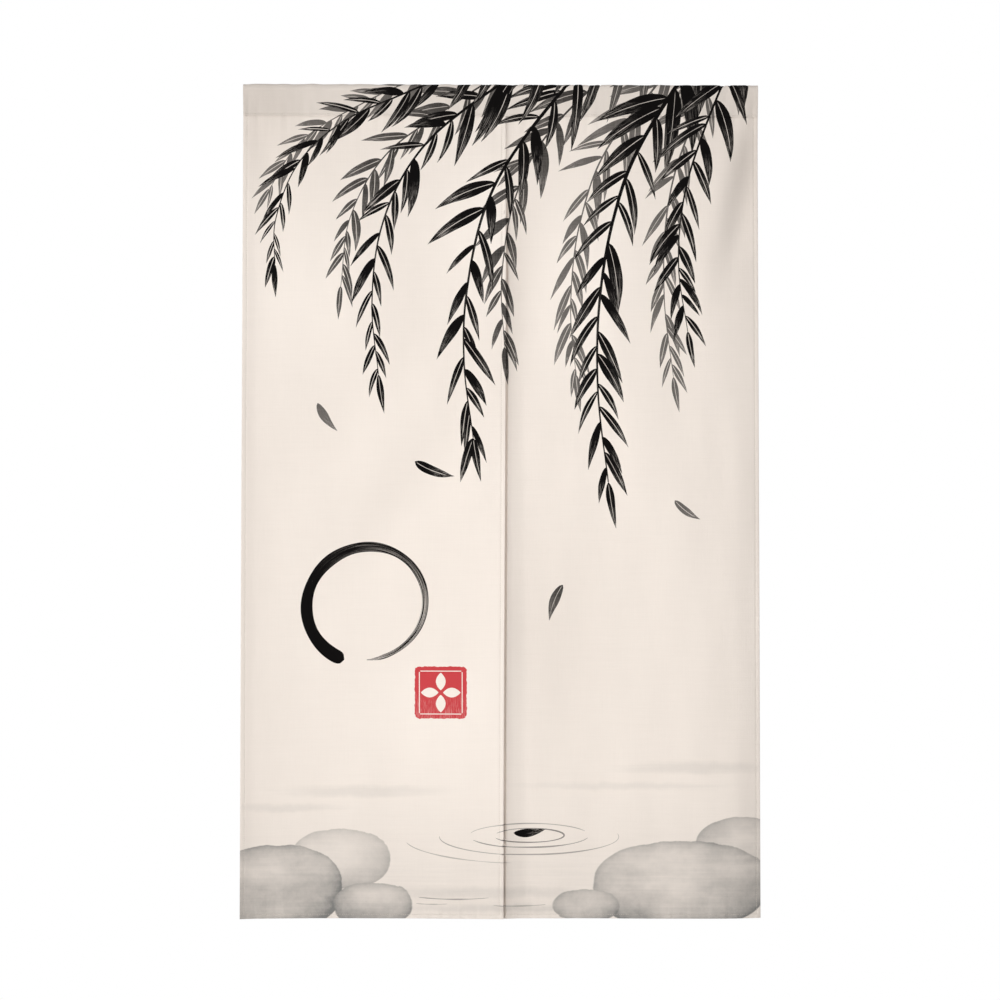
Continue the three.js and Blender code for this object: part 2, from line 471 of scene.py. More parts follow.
# How a spray grows. A pair is a measure at the stem's foot and at its tip.
SPRAY_SEED = 11
STEM_POINTS = 10
STEM_WIDTH = (1, 0.2)
STEM_TAPER = 0.8
STEM_DRY = 0.3
LEAF_SIZE = (1.2, 0.66)
LEAF_SPREAD = (0.86, 0.46)
LEAF_SPACING = (1, 0.8)
# The least and the most that chance gives a leaf.
SIZE_VARIES = (0.72, 1.16)
SPREAD_VARIES = (0.62, 1.3)
SLIMNESS = (0.13, 0.21)
CURL = (0.2, 0.7)
SPACING = (0.18, 0.35)
SWAP_CHANCE = 0.86
BARE_FOOT = 0.3
BARE_TIP = 8
# The leaf at the tip: its length and width as shares of the leaf size, and its bend.
TIP_LEAF = (0.7, 0.12, 0.1)


def spray(points, thick, ink, size, rng):
    """A stem with leaves on alternate sides, smaller towards the tip, and one leaf at the tip."""
    count = STEM_POINTS * len(points)
    line = through(points, count)
    half = thick / 2 * np.linspace(*STEM_WIDTH, count) ** STEM_TAPER
    along = tangents_of(line)
    travelled = distance_along(line)
    leaves = []
    at = size * BARE_FOOT
    hand = 1
    while at < travelled[-1] - BARE_TIP:
        share = at / travelled[-1]
        i = np.searchsorted(travelled, at)
        length = size * mix(*LEAF_SIZE, share) * rng.uniform(*SIZE_VARIES)
        spread = hand * mix(*LEAF_SPREAD, share) * rng.uniform(*SPREAD_VARIES)
        width = length * rng.uniform(*SLIMNESS)
        bend = -spread * rng.uniform(*CURL)
        leaves.append(leaf(line[i], heading_of(along[i]) + spread, length, width, bend, ink, rng))
        hand = -hand if rng.random() < SWAP_CHANCE else hand
        at += size * rng.uniform(*SPACING) * mix(*LEAF_SPACING, share)
    long, wide, bend = TIP_LEAF
    leaves.append(leaf(line[-1], heading_of(along[-1]), size * long, size * wide, bend, ink, rng))
    return [stroke(line, half, ink, dry=STEM_DRY, seed=rng.uniform(0, SEEDS)), *leaves]


# The ring, painted in one turn of a wide brush that runs dry. Its angles are in degrees.
RING_CENTRE = (-206, -800)
RING_RADIUS = 92
RING_HALF = 9.5
RING_START = 248
RING_TURN = -338
RING_POINTS = 144
RING_SEED = 7.3
# It isn't quite a circle: how oval it is, where that starts, and how far it winds inwards.
RING_OVAL, RING_OVAL_START, RING_SPIRAL = 0.03, 0.6, 0.05
# The brush comes down round, lifts a little, and leaves in a point: how much, and from where.
RING_ROUND = 0.022
RING_LIFTS = ((0.62, 0.1), (0.75, 0.94))
# Ripples in its width: rise, turns in radians over its length, and start.
RING_UNEVEN = ((0.07, 17, 1), (0.05, 41, 0))


def ring():
    t = np.linspace(0, 1, RING_POINTS)
    turned = np.radians(RING_START + RING_TURN * t)
    oval = RING_OVAL * np.sin(2 * turned + RING_OVAL_START)
    radius = RING_RADIUS * (1 + oval - RING_SPIRAL * t)
    line = RING_CENTRE + radius[:, None] * flat_line(np.cos(turned), np.sin(turned))
    half = RING_HALF * np.sqrt(1 - np.clip(1 - t / RING_ROUND, 0, 1) ** 2)
    for much, start in RING_LIFTS:
        half *= 1 - much * smooth(start, 1, t)
    half *= 1 + sum(rise * np.sin(turns * t + start) for rise, turns, start in RING_UNEVEN)
    return stroke(line, half, dry=1.0, seed=RING_SEED)


# The stamp: a red square with a plain four-petalled flower and a thin frame left bare in it.
STAMP_CENTRE = (-92, -936)
STAMP_SIZE = 80
STAMP_CORNER = 7
STAMP_POINTS = 160
STAMP_SPREAD = 1.5
MIDDLE_POINTS = 12
STAMP_DRY = 0.35
STAMP_SEED = 3.1
PETAL_LENGTH = 27
PETAL_WIDTH = 15
PETAL_START = 3.5
PETAL_FULL = 0.8
FRAME_INSET = 7
FRAME_LINE = 1.4
FRAME_POINTS = 6
# Its edge is a little rough: how much, and the turns and starts of its waves.
STAMP_ROUGH = 0.55
ROUGH_WAVES = ((11, 0), (29, 1), (47, 2))


def stamp_square(centre, half):
    turned = np.linspace(0, 2 * math.pi, STAMP_POINTS, endpoint=False)
    around = flat_line(np.cos(turned), np.sin(turned)) * half * STAMP_SPREAD
    inner = half - STAMP_CORNER
    square = np.clip(around, -inner, inner)
    rough = STAMP_ROUGH * sum(np.sin(turns * turned + start) for turns, start in ROUGH_WAVES) / 2
    middle = centre + flat_line(0, np.linspace(half, -half, MIDDLE_POINTS))
    outline = centre + square + unit(around - square) * (STAMP_CORNER + rough)[:, None]
    return Stroke(middle, outline, (1.0, 0, STAMP_DRY, 1.0), STAMP_SEED)


def stamp():
    centre = np.array(STAMP_CENTRE)
    half = STAMP_SIZE / 2
    made = [stamp_square(centre, half)]
    edge = half - FRAME_INSET
    ends = np.linspace(-edge + FRAME_LINE, edge - FRAME_LINE, FRAME_POINTS)[:, None]
    s = np.linspace(0, 1, LEAF_POINTS)
    for quarter in range(4):
        turned = quarter * math.pi / 2
        way = np.array([math.cos(turned), math.sin(turned)])
        side = np.array([-way[1], way[0]])
        petal = centre + way * (PETAL_START + PETAL_LENGTH * s[:, None])
        made.append(stroke(petal, PETAL_WIDTH / 2 * np.sin(math.pi * s) ** PETAL_FULL, ink=0))
        frame_side = centre + way * edge + side * ends
        made.append(stroke(frame_side, np.full(FRAME_POINTS, FRAME_LINE / 2), ink=0))
    return made


# Ripples, seen at a slant: centre x and z, half width, from and to degrees, thickness, and ink.
RIPPLES = (
    (44, -1156, 54, 196, 520, 1.7, 0.7),
    (44, -1156, 92, 200, 350, 1.6, 0.62),
    (44, -1156, 92, 20, 168, 1.3, 0.5),
    (44, -1158, 138, 176, 372, 1.5, 0.52),
    (44, -1160, 192, 190, 262, 1.3, 0.42),
    (-72, -1232, 110, 240, 300, 1.5, 0.5),
    (28, -1248, 84, 242, 300, 1.3, 0.42),
    (-104, -1250, 60, 244, 292, 1.2, 0.36),
)
RIPPLE_SLANT = 0.2
RIPPLE_POINTS = 48
RIPPLE_DRY = 0.6
RIPPLE_LEAST = 0.1
RIPPLE_UNEVEN = 0.35
RIPPLE_WAVES = 14


def ripples():
    t = np.linspace(0, 1, RIPPLE_POINTS)
    pressed = np.sin(math.pi * t) ** 0.5 * (1 + RIPPLE_UNEVEN * np.sin(RIPPLE_WAVES * t))
    made = []
    for cx, cz, wide, start, end, thick, ink in RIPPLES:
        turned = np.radians(mix(start, end, t))
        x = cx + wide * np.cos(turned)
        z = cz + wide * RIPPLE_SLANT * np.sin(turned)
        half = thick / 2 * pressed + RIPPLE_LEAST
        made.append(stroke(flat_line(x, z), half, ink, dry=RIPPLE_DRY, seed=wide))
    return made


def print_strokes():
    rng = np.random.default_rng(SPRAY_SEED)
    made = ripples()
    for points, thick, ink, size in SPRAYS:
        made += spray(points, thick, ink, size, rng)
    for x, z, angle, length, ink in LOOSE_LEAVES:
        width = length * LOOSE_WIDTH
        made.append(leaf((x, z), math.radians(angle), length, width, LOOSE_BEND, ink, rng))
    return [*made, ring(), *stamp()]


STROKES = print_strokes()


# How far inside an edge the grid's lines lie: in its rounding, in the hem, and just past it.
ROUND_STATIONS = (0, 0.12, 0.4, 0.95)
HEM_STATIONS = (*ROUND_STATIONS, 3.2, SEWN_AT - 1.2, SEWN_AT, SEWN_AT + 1.1, HEM + 0.5, HEM + 3)
SEAM_STATIONS = (*ROUND_STATIONS, *(SLEEVE_SEWN + away for away in (-1, 0, 1, 3)))
# The right panel has more beside the slit, where its trough is.
TROUGH_STEP = 0.7
TROUGH_STATIONS = (*HEM_STATIONS[:-1], *(HEM + TROUGH_STEP * k for k in range(4, 21)))
SLEEVE_GRID = 2.4


def stations(length, near_low, near_high, step):
    """Places along an edge: those given near each end, and even ones between."""
    first = near_low[-1]
    last = length - near_high[-1]
    even = np.linspace(first, last, int((last - first) / step) + 1)
    return np.array([*near_low[:-1], *even, *(length - d for d in near_high[-2::-1])])


def panel_grid(panel):
    """The points of a panel's grid as rows of (x, z)."""
    width = mean_width(panel)
    near_low = TROUGH_STATIONS if panel is RIGHT else HEM_STATIONS
    columns = stations(width, near_low, HEM_STATIONS, GRID) / width
    length = DROP - SLEEVE_HEIGHT - GAP
    rows = stations(length, ROUND_STATIONS, HEM_STATIONS, GRID) / length
    grid = []
    for row in rows:
        level = mix(top_edge(0), -DROP, row)
        x = mix(panel.low(level), panel.high(level), columns)
        grid.append(flat_line(x, mix(top_edge(x), -DROP, row)))
    return np.array(grid)


def sleeve_grid():
    columns = stations(SLEEVE_WIDTH, ROUND_STATIONS, ROUND_STATIONS, GRID) - SLEEVE_WIDTH / 2
    rows = stations(SLEEVE_GIRTH, SEAM_STATIONS, SEAM_STATIONS, SLEEVE_GRID)[::-1]
    return np.array([[(x, s) for x in columns] for s in rows])


def rim_of(grid):
    """The grid's outer points, anticlockwise."""
    top, bottom = grid[0], grid[-1]
    left, right = grid[:, 0], grid[:, -1]
    return np.vstack([left[:-1], bottom[:-1], right[:0:-1], top[:0:-1]])


# Points on the flat cloth that are nearer than this are one point.
SAME_POINT = 1e-3


def triangulate(grid, to_flat):
    """A sheet's triangles, with the strokes' outlines as edges, and each one's top stroke or -1."""
    rim = rim_of(grid)
    inner = grid[1:-1, 1:-1].reshape(-1, 2)
    low, high = rim.min(0), rim.max(0)
    points = [rim, inner]
    faces = [list(range(len(rim)))]
    count = len(rim) + len(inner)
    used = []
    for k, made in enumerate(STROKES):
        outline = to_flat(made.outline)
        if (outline.max(0) < low).any() or (outline.min(0) > high).any():
            continue
        faces.append(list(range(count, count + len(outline))))
        centre = to_flat(made.line[1:-1])
        points += [outline, centre]
        count += len(outline) + len(centre)
        used.append(k)
    vectors = [Vector(p) for p in np.vstack(points)]
    flat, _, triangles, _, _, owners = delaunay_2d_cdt(vectors, [], faces, 0, SAME_POINT, True)
    kept = [(t, o) for t, o in zip(triangles, owners) if 0 in o and len(t) == 3]
    top = [used[max(o) - 1] if max(o) else -1 for _, o in kept]
    return np.array([tuple(p) for p in flat]), np.array([t for t, _ in kept]), np.array(top)


def stroke_places(line, points):
    """How far along a line each point is, from 0 to 1, and how far beside it, in mm."""
    step = np.diff(line, axis=0)
    length = np.linalg.norm(step, axis=1)
    start = distance_along(line)
    away = points[:, None] - line[None, :-1]
    share = np.clip((away * step).sum(2) / length**2, 0, 1)
    near = away - share[..., None] * step
    best = (near**2).sum(2).argmin(1)
    rows = np.arange(len(points))
    along = (start[best] + share[rows, best] * length[best]) / start[-1]
    gap = near[rows, best]
    beside = (step[best, 0] * gap[:, 1] - step[best, 1] * gap[:, 0]) / length[best]
    return along, beside


def add_object(name, data):
    obj = bpy.data.objects.new(name, data)
    bpy.context.scene.collection.objects.link(obj)
    return obj


def make_object(name, points, faces, material):
    mesh = bpy.data.meshes.new(name)
    mesh.from_pydata([tuple(p) for p in points], [], [tuple(f) for f in faces])
    mesh.shade_smooth()
    mesh.materials.append(material)
    return add_object(name, mesh)


NEAR = 0.04
# The numbers that each corner of a sheet carries, besides its place in its stroke.
CARRIED = ("ink", "rib", "dry", "red", "back")


def normals_at(place, flat, side):
    """The direction away from the cloth on this side, from how the face lies about each point."""
    a, b = flat[:, 0], flat[:, 1]
    across = place(a + NEAR, b, side) - place(a - NEAR, b, side)
    up = place(a, b + NEAR, side) - place(a, b - NEAR, side)
    out = unit(np.cross(across, up))
    return np.where(side[:, None] > 0, -out, out)


def rim_points(triangles):
    """The points on edges that only one triangle has."""
    edges = np.sort(triangles[:, [0, 1, 1, 2, 2, 0]].reshape(-1, 2), axis=1)
    edges, uses = np.unique(edges, axis=0, return_counts=True)
    return np.unique(edges[uses == 1])


def same(points):
    return points


def cloth_sheet(name, grid, place, material, to_flat=same, from_flat=same):
    """A closed sheet with a printed front, a back, and a rounded edge that they share.

    A corner triangle with all its points on the rim would be the same face twice, so it is left out.
    """
    flat, triangles, top = triangulate(grid, to_flat)
    kept = ~np.isin(triangles, rim_points(triangles)).all(axis=1)
    used, triangles = np.unique(triangles[kept], return_inverse=True)
    flat, triangles, top = flat[used], triangles.reshape(-1, 3), top[kept]
    rows = np.arange(len(flat))
    inside = ~np.isin(rows, rim_points(triangles))
    behind = np.where(inside, len(flat) + np.cumsum(inside) - 1, rows)
    both = np.vstack([flat, flat[inside]])
    side = np.repeat([0.0, 1.0], [len(flat), inside.sum()])
    points = place(both[:, 0], both[:, 1], side)
    faces = np.vstack([triangles, behind[triangles][:, ::-1]])
    obj = make_object(name, points * MM, faces, material)
    obj.data.normals_split_custom_set_from_vertices(normals_at(place, both, side))
    paint(obj.data, from_flat(both), faces, np.tile(top, 2))
    return obj


def paint(mesh, points, faces, top):
    """Gives each corner its stroke's look, its place in the stroke, and its side of the cloth."""
    look = np.zeros((len(faces), 3, 5))
    look[len(faces) // 2 :, :, 4] = 1
    place = np.zeros((len(faces), 3, 3))
    for k in np.unique(top[top >= 0]):
        made = STROKES[k]
        rows = np.flatnonzero(top == k)
        along, beside = stroke_places(made.line, points[faces[rows].ravel()])
        look[rows, :, :4] = made.look
        place[rows, :, 0] = along.reshape(-1, 3)
        place[rows, :, 1] = beside.reshape(-1, 3)
        place[rows, :, 2] = made.seed
    for number, name in enumerate(CARRIED):
        data = mesh.attributes.new(name, "FLOAT", "CORNER").data
        data.foreach_set("value", look[..., number].ravel())
    data = mesh.attributes.new("stroke", "FLOAT_VECTOR", "CORNER").data
    data.foreach_set("vector", place.ravel())


class Wire:
    """A number in a material's node tree. Plain arithmetic on it adds the nodes."""

    def __init__(self, tree, socket):
        self.tree = tree
        self.socket = socket

    def math(self, operation, *others):
        node = self.tree.nodes.new("ShaderNodeMath")
        node.operation = operation
        feed(self.tree, node.inputs, (self, *others))
        return Wire(self.tree, node.outputs[0])

    def __add__(self, other):
        return self.math("ADD", other)

    def __sub__(self, other):
        return self.math("SUBTRACT", other)

    def __mul__(self, other):
        return self.math("MULTIPLY", other)

    def __truediv__(self, other):
        return self.math("DIVIDE", other)

    def __rsub__(self, other):
        return self * -1 + other

    __radd__ = __add__
    __rmul__ = __mul__

    def smooth(self, low, high):
        node = self.tree.nodes.new("ShaderNodeMapRange")
        node.interpolation_type = "SMOOTHSTEP"
        feed(self.tree, node.inputs, (self, low, high, 0.0, 1.0))
        return Wire(self.tree, node.outputs[0])

    def clamped(self):
        return self.math("MAXIMUM", 0.0).math("MINIMUM", 1.0)

    def fading(self, reach):
        """Falls from 1 at zero, by this reach."""
        return (self * (-1 / reach)).math("EXPONENT")

    def into(self, node, name):
        self.tree.links.new(self.socket, node.inputs[name])

    def split(self):
        """The three numbers of a vector."""
        node = self.tree.nodes.new("ShaderNodeSeparateXYZ")
        self.into(node, "Vector")
        return [Wire(self.tree, part) for part in node.outputs]


def feed(tree, sockets, values):
    for socket, value in zip(sockets, values):
        if isinstance(value, Wire):
            tree.links.new(value.socket, socket)
        else:
            socket.default_value = value


def vector(tree, x, y, z):
    node = tree.nodes.new("ShaderNodeCombineXYZ")
    feed(tree, node.inputs, (x, y, z))
    return Wire(tree, node.outputs[0])


def noise(tree, place, detail=2.0, roughness=0.5):
    node = tree.nodes.new("ShaderNodeTexNoise")
    place.into(node, "Vector")
    node.inputs["Scale"].default_value = 1
    node.inputs["Detail"].default_value = detail
    node.inputs["Roughness"].default_value = roughness
    return Wire(tree, node.outputs[0])


def carried(tree, name, output="Fac"):
    """What the mesh carries under this name."""
    node = tree.nodes.new("ShaderNodeAttribute")
    node.attribute_name = name
    return Wire(tree, node.outputs[output])


def blend(tree, share, low, high):
    """A colour between two others, each a colour or another node's output."""
    node = tree.nodes.new("ShaderNodeMix")
    node.data_type = "RGBA"
    colours = [c if isinstance(c, Wire) else (*c, 1) for c in (low, high)]
    feed(tree, [node.inputs[k] for k in (0, 6, 7)], (share, *colours))
    return Wire(tree, node.outputs[2])


def millimetres(tree):
    """The piece's own coordinates in mm."""
    place = tree.nodes.new("ShaderNodeTexCoord")
    return [part / MM for part in Wire(tree, place.outputs["Object"]).split()]


def new_material(name):
    material = bpy.data.materials.new(name)
    material.use_nodes = True
    return material, material.node_tree, material.node_tree.nodes["Principled BSDF"]


def add_relief(tree, shader, height, distance, strength=1.0):
    """Gives the surface a relief. The distance is what a height of 1 stands for."""
    bump = tree.nodes.new("ShaderNodeBump")
    bump.inputs["Distance"].default_value = distance
    bump.inputs["Strength"].default_value = strength
    height.into(bump, "Height")
    tree.links.new(bump.outputs["Normal"], shader.inputs["Normal"])


# Noises in the washes and the cloth: reach across and down in mm, slice, detail, and roughness.
WOBBLE = (34, 34, 0.3, 4, 0.6)
FLOW = (95, 60, 1.7, 3, 0.55)
BRUSHING = (150, 5, 4.4, 3, 0.6)
GRAIN = (7, 7, 5.1, 3, 0.7)
DRIFT = (9, 9, 0.5, 2, 0.5)
DOWN_SLUBS = (1.1, 44, 2.2, 2, 0.5)
ACROSS_SLUBS = (52, 1.2, 7.4, 2, 0.5)
BROAD = (160, 210, 3.3, 2, 0.5)


def cloud(tree, x, z, kind):
    """A noise about zero."""
    across, down, level, detail, roughness = kind
    return noise(tree, vector(tree, x / across, level, z / down), detail, roughness) - 0.5


# Streaks of mist over the water: x, height above the hem, half width, half height, and ink.
MIST = (
    (-210, 196, 170, 13, 0.13),
    (-330, 170, 120, 9, 0.12),
    (300, 232, 150, 14, 0.14),
    (190, 204, 210, 9, 0.1),
    (-20, 40, 240, 12, 0.14),
    (60, 16, 300, 9, 0.16),
)
# The stones: x, height above the hem, half width, half height, and ink. Those behind come first.
STONES = (
    (-246, 92, 78, 46, 0.46),
    (372, 108, 74, 48, 0.58),
    (-344, 48, 102, 66, 0.76),
    (278, 52, 136, 68, 0.72),
    (-196, 22, 62, 34, 0.66),
    (132, 20, 52, 26, 0.62),
)
WATER_INK = 0.12
WATER_TOP = 210
# How far the wobble moves an edge in mm, and how much brushing and grain show.
WATER_WOBBLE, MIST_WOBBLE, STONE_WOBBLE = 40, 12, 10
WATER_BRUSHING, MIST_BRUSHING, STONE_BRUSHING = 1.6, 0.5, 0.3
WASH_GRAIN = 0.4
MIST_SOFT = 0.8
# A stone's outline, where 2 is an ellipse and more is squarer, and its soft edge in mm.
STONE_POWER = 2.3
STONE_SOFT = 1.6
# Its ink: all over, where it has flowed, below, and gathered at its rim by reach in mm.
STONE_BODY = 0.34
STONE_FLOW = 1.3
STONE_UNDER, UNDER_SLANT, UNDER_RANGE = 0.4, 0.25, (-0.8, 1.1)
STONE_RIMS = ((0.3, 2.5), (0.6, 15))


def stone_reach(dx, dz):
    """0 at a stone's middle, and 1 at its outline."""
    x, z = (way.math("ABSOLUTE").math("POWER", STONE_POWER) for way in (dx, dz))
    return (x + z).math("POWER", 1 / STONE_POWER)


def washes(tree, x, z):
    """How much thin ink lies on the cloth, from 0 to 1: mist and water, and stones before them."""
    height = z + DROP
    kinds = (WOBBLE, FLOW, BRUSHING, GRAIN)
    wobble, flow, brush, grain = (cloud(tree, x, height, kind) for kind in kinds)
    down = (WATER_TOP - height + wobble * WATER_WOBBLE).smooth(0, WATER_TOP)
    total = down * (WATER_INK + brush * WATER_INK * WATER_BRUSHING)
    for cx, up, wide, tall, ink in MIST:
        dx = (x - cx) / wide
        dz = (height + wobble * MIST_WOBBLE - up) / tall
        gone = (dx * dx + dz * dz).math("SQRT") + brush * MIST_BRUSHING
        total = total + (1 - gone).smooth(0, MIST_SOFT) * ink
    for cx, up, wide, tall, ink in STONES:
        dx = (x + wobble * STONE_WOBBLE - cx) / wide
        dz = (height + wobble * STONE_WOBBLE - up) / tall
        depth = (1 - stone_reach(dx, dz)) * tall
        body = depth.smooth(0, STONE_SOFT)
        inside = depth.math("MAXIMUM", 0.0)
        layer = STONE_BODY + flow * STONE_FLOW + brush * STONE_BRUSHING
        layer = layer + (dx * UNDER_SLANT - dz).smooth(*UNDER_RANGE) * STONE_UNDER
        for much, reach in STONE_RIMS:
            layer = layer + inside.fading(reach) * much
        total = total * (1 - body) + layer * ink * body
    return (total + grain * total * WASH_GRAIN).clamped()


# Colours, linear.
CREAM_LIGHT = (0.96, 0.88, 0.812)
CREAM_DEEP = (0.775, 0.70, 0.638)
INK = (0.0035, 0.0028, 0.0028)
WASH = (0.21, 0.207, 0.2)
STAMP_RED = (0.59, 0.062, 0.07)
# The sleeve's cream is painted darker all over than the panels', as painted shade on the same cloth.
SLEEVE_PAINTED_SHADE_ALL_OVER = 0.89

# The weave: thread spacing across and down, and how high its threads and slubs stand, in mm.
WARP = 0.62
WEFT = 0.7
WEAVE_RISE = 0.05
SLUB_RISE = 0.16
THREAD_DRIFT = 0.5


def thread_lines(at, spacing):
    """Rounded threads side by side: 1 along each thread's middle, and 0 between two."""
    return (at * (2 * math.pi / spacing)).math("SINE") * 0.5 + 0.5


def weave(tree, x, z):
    """The height of the cloth's threads and slubs, and how its slubs vary its colour."""
    drift = cloud(tree, x, z, DRIFT) * THREAD_DRIFT
    threads = thread_lines(x + drift, WARP) + thread_lines(z + drift, WEFT)
    slubs = cloud(tree, x, z, DOWN_SLUBS) + cloud(tree, x, z, ACROSS_SLUBS)
    return threads * (WEAVE_RISE / 2) + slubs * SLUB_RISE, slubs


# The brush's bristles: how much they vary along the whole stroke, and across it for each mm.
BRISTLES = (5, 1.5)
BRISTLES_ROUGH = 0.6
# Where a dry brush leaves the cloth bare: by its bristles, and by the way along the stroke.
BARE_BRISTLES = (0.5, 0.62)
BARE_ALONG = (0.18, 1.05)
# The pale rib along a leaf: its half width in mm, how soft and how pale it is, and where it runs.
RIB_HALF = (0.9, 0.12)
RIB_SOFT = 0.45
RIB_PALE = 0.8
RIB_COMES = (0.03, 0.1)
RIB_GOES = (0.62, 0.9)
PALE_STREAKS = 1.1


def ink_on(tree):
    """How much ink the strokes leave, how much of it is red, and the side of the cloth."""
    ink, rib, dry, red, back = (carried(tree, name) for name in CARRIED)
    along, beside, seed = carried(tree, "stroke", "Vector").split()
    at = vector(tree, along * BRISTLES[0], beside * BRISTLES[1], seed)
    bristles = noise(tree, at, 2, BRISTLES_ROUGH)
    bare = bristles.smooth(*BARE_BRISTLES) * dry * along.smooth(*BARE_ALONG)
    varies, least = RIB_HALF
    edge = bristles * varies + least
    middle = 1 - beside.math("ABSOLUTE").smooth(edge * RIB_SOFT, edge)
    vein = middle * rib * along.smooth(*RIB_COMES) * (1 - along.smooth(*RIB_GOES))
    streaks = (bristles - 0.5) * (1 - ink) * PALE_STREAKS
    return (ink + streaks * ink) * (1 - bare) * (1 - vein * RIB_PALE), red, back


# Painted light and shade in the cream: soft patches made darker where shade falls (the top corners,
# down the crease at the top right, in the slit's crack and beside it) and lighter where light pools.
# x, z, half width, half height, and how much.
SLEEVE_PAINTED_SHADE_SPOTS = (
    (-370, -40, 75, 90, -0.45),
    (390, -30, 40, 60, -0.2),
    (396, -42, 12, 18, -0.6),
)
LEFT_PAINTED_LIGHT_AND_SHADE = (
    (-370, -40, 75, 90, -0.45),
    (-35, -210, 80, 115, 0.36),
    (-310, -315, 95, 140, 0.32),
    (-110, -980, 115, 95, 0.2),
)
RIGHT_PAINTED_LIGHT_AND_SHADE = (
    # Painted shade in the crack of the slit, behind the left panel's edge.
    (7, -740, 3.4, 620, -0.5),
    (22, -280, 24, 150, -0.42),
    (140, -300, 80, 145, 0.38),
    # Painted shade along the crease at the top right.
    (385, -120, 34, 90, -0.5),
    (396, -64, 12, 40, -0.6),
    (76, -850, 90, 160, -0.3),
    (262, -88, 70, 45, -0.26),
)


# The soft patches of painted light and shade, summed.
def painted_light_and_shade(x, z, spots):
    total = 0
    for cx, cz, wide, tall, much in spots:
        dx = (x - cx) / wide
        dz = (z - cz) / tall
        total = (dx * dx + dz * dz).fading(1) * much + total
    return total


# How much of the ink shows on the back, and how thick it lies.
SHOW_THROUGH = 0.3
INK_FILL = 1.05
# How much the slubs and the broad noise vary the cream, and the slubs the ink.
SLUB_SHADE = 0.19
BROAD_SHADE = 0.17
SLUB_INK = 0.12
# Roughness, shine and relief of the cloth, and what full ink takes off the first two.
ROUGH, INK_SMOOTHER = 0.92, 0.05
SHINE, INK_DULLER = 0.25, 0.17
RELIEF = 0.8


def printed_cloth(name, tone, uneven):
    """Cream plain-woven cloth with painted light and shade, and ink on its face that shows a little
    on its back.
    """
    material, tree, shader = new_material(name)
    x, _, z = millimetres(tree)
    height, slubs = weave(tree, x, z)
    # Random broad tone, plus the soft patches of painted light and shade.
    broad = cloud(tree, x, z, BROAD) * BROAD_SHADE + painted_light_and_shade(x, z, uneven)
    # The tone darkens all of the sleeve's cream as painted shade; for the panels it is 1.
    deep, light = (tuple(c * tone for c in colour) for colour in (CREAM_DEEP, CREAM_LIGHT))
    cream = blend(tree, (slubs * SLUB_SHADE + broad + 0.5).clamped(), deep, light)
    ink, red, back = ink_on(tree)
    through = 1 - back * (1 - SHOW_THROUGH)
    washed = blend(tree, washes(tree, x, z) * through, cream, WASH)
    pigment = blend(tree, red, INK, STAMP_RED)
    share = (ink * (slubs * SLUB_INK + INK_FILL)).math("MINIMUM", 1.0)
    blend(tree, share * through, washed, pigment).into(shader, "Base Color")
    (ROUGH - ink * through * INK_SMOOTHER).into(shader, "Roughness")
    (SHINE - ink * INK_DULLER).into(shader, "Specular IOR Level")
    add_relief(tree, shader, height, MM, RELIEF)
    return material


# Sewing thread. Its two plies wind round it, by this many radians each mm.
THREAD_COLOUR = (0.76, 0.685, 0.61)
THREAD_DARKER = 0.84
THREAD_ROUGH = 0.7
THREAD_SHINE = 0.35
PLY_TURN = 9
# How much darker the thread is painted where its twist lies low: painted shade in the grooves
# between the plies.
PLY_PAINTED_SHADE = 0.25
PLY_RISE = 0.1


def thread():
    material, tree, shader = new_material("thread")
    x, y, z = millimetres(tree)
    twist = ((x + z + y) * PLY_TURN).math("SINE")
    # Darker along the low parts of the twist, as painted shade in the grooves between plies, and
    # varied by random tone from a noise.
    share = (twist * PLY_PAINTED_SHADE + noise(tree, vector(tree, x, y, z))).clamped()
    dark = tuple(c * THREAD_DARKER for c in THREAD_COLOUR)
    plain = blend(tree, share, dark, THREAD_COLOUR)
    dyed = blend(tree, carried(tree, "red"), INK, STAMP_RED)
    blend(tree, carried(tree, "ink"), plain, dyed).into(shader, "Base Color")
    shader.inputs["Roughness"].default_value = THREAD_ROUGH
    shader.inputs["Specular IOR Level"].default_value = THREAD_SHINE
    add_relief(tree, shader, twist, PLY_RISE * MM)
    return material


# A stitch is a short bent thread whose ends go down into the cloth. The rows of its shape are
# shares of its length, radius and rise.
STITCH = 2.7
STITCH_PITCH = 3.5
STITCH_RISE = 0.2
STITCH_SIDES = 5
THREAD_RADIUS = 0.26
STITCH_SHAPE = (
    (-0.5, 0.35, -1.0),
    (-0.36, 1, -0.1),
    (0, 1, 0.35),
    (0.36, 1, -0.1),
    (0.5, 0.35, -1.0),
)
# Far enough away that no stroke reaches it.
UNPRINTED = 9999


def stitch_faces():
    """The faces of one stitch: a tube with closed ends."""
    n = STITCH_SIDES
    last = (len(STITCH_SHAPE) - 1) * n
    faces = []
    for start in range(0, last, n):
        for k in range(n):
            after = (k + 1) % n
            faces.append((start + k, start + after, start + after + n, start + k + n))
    return [*faces, range(n)[::-1], range(last, last + n)]


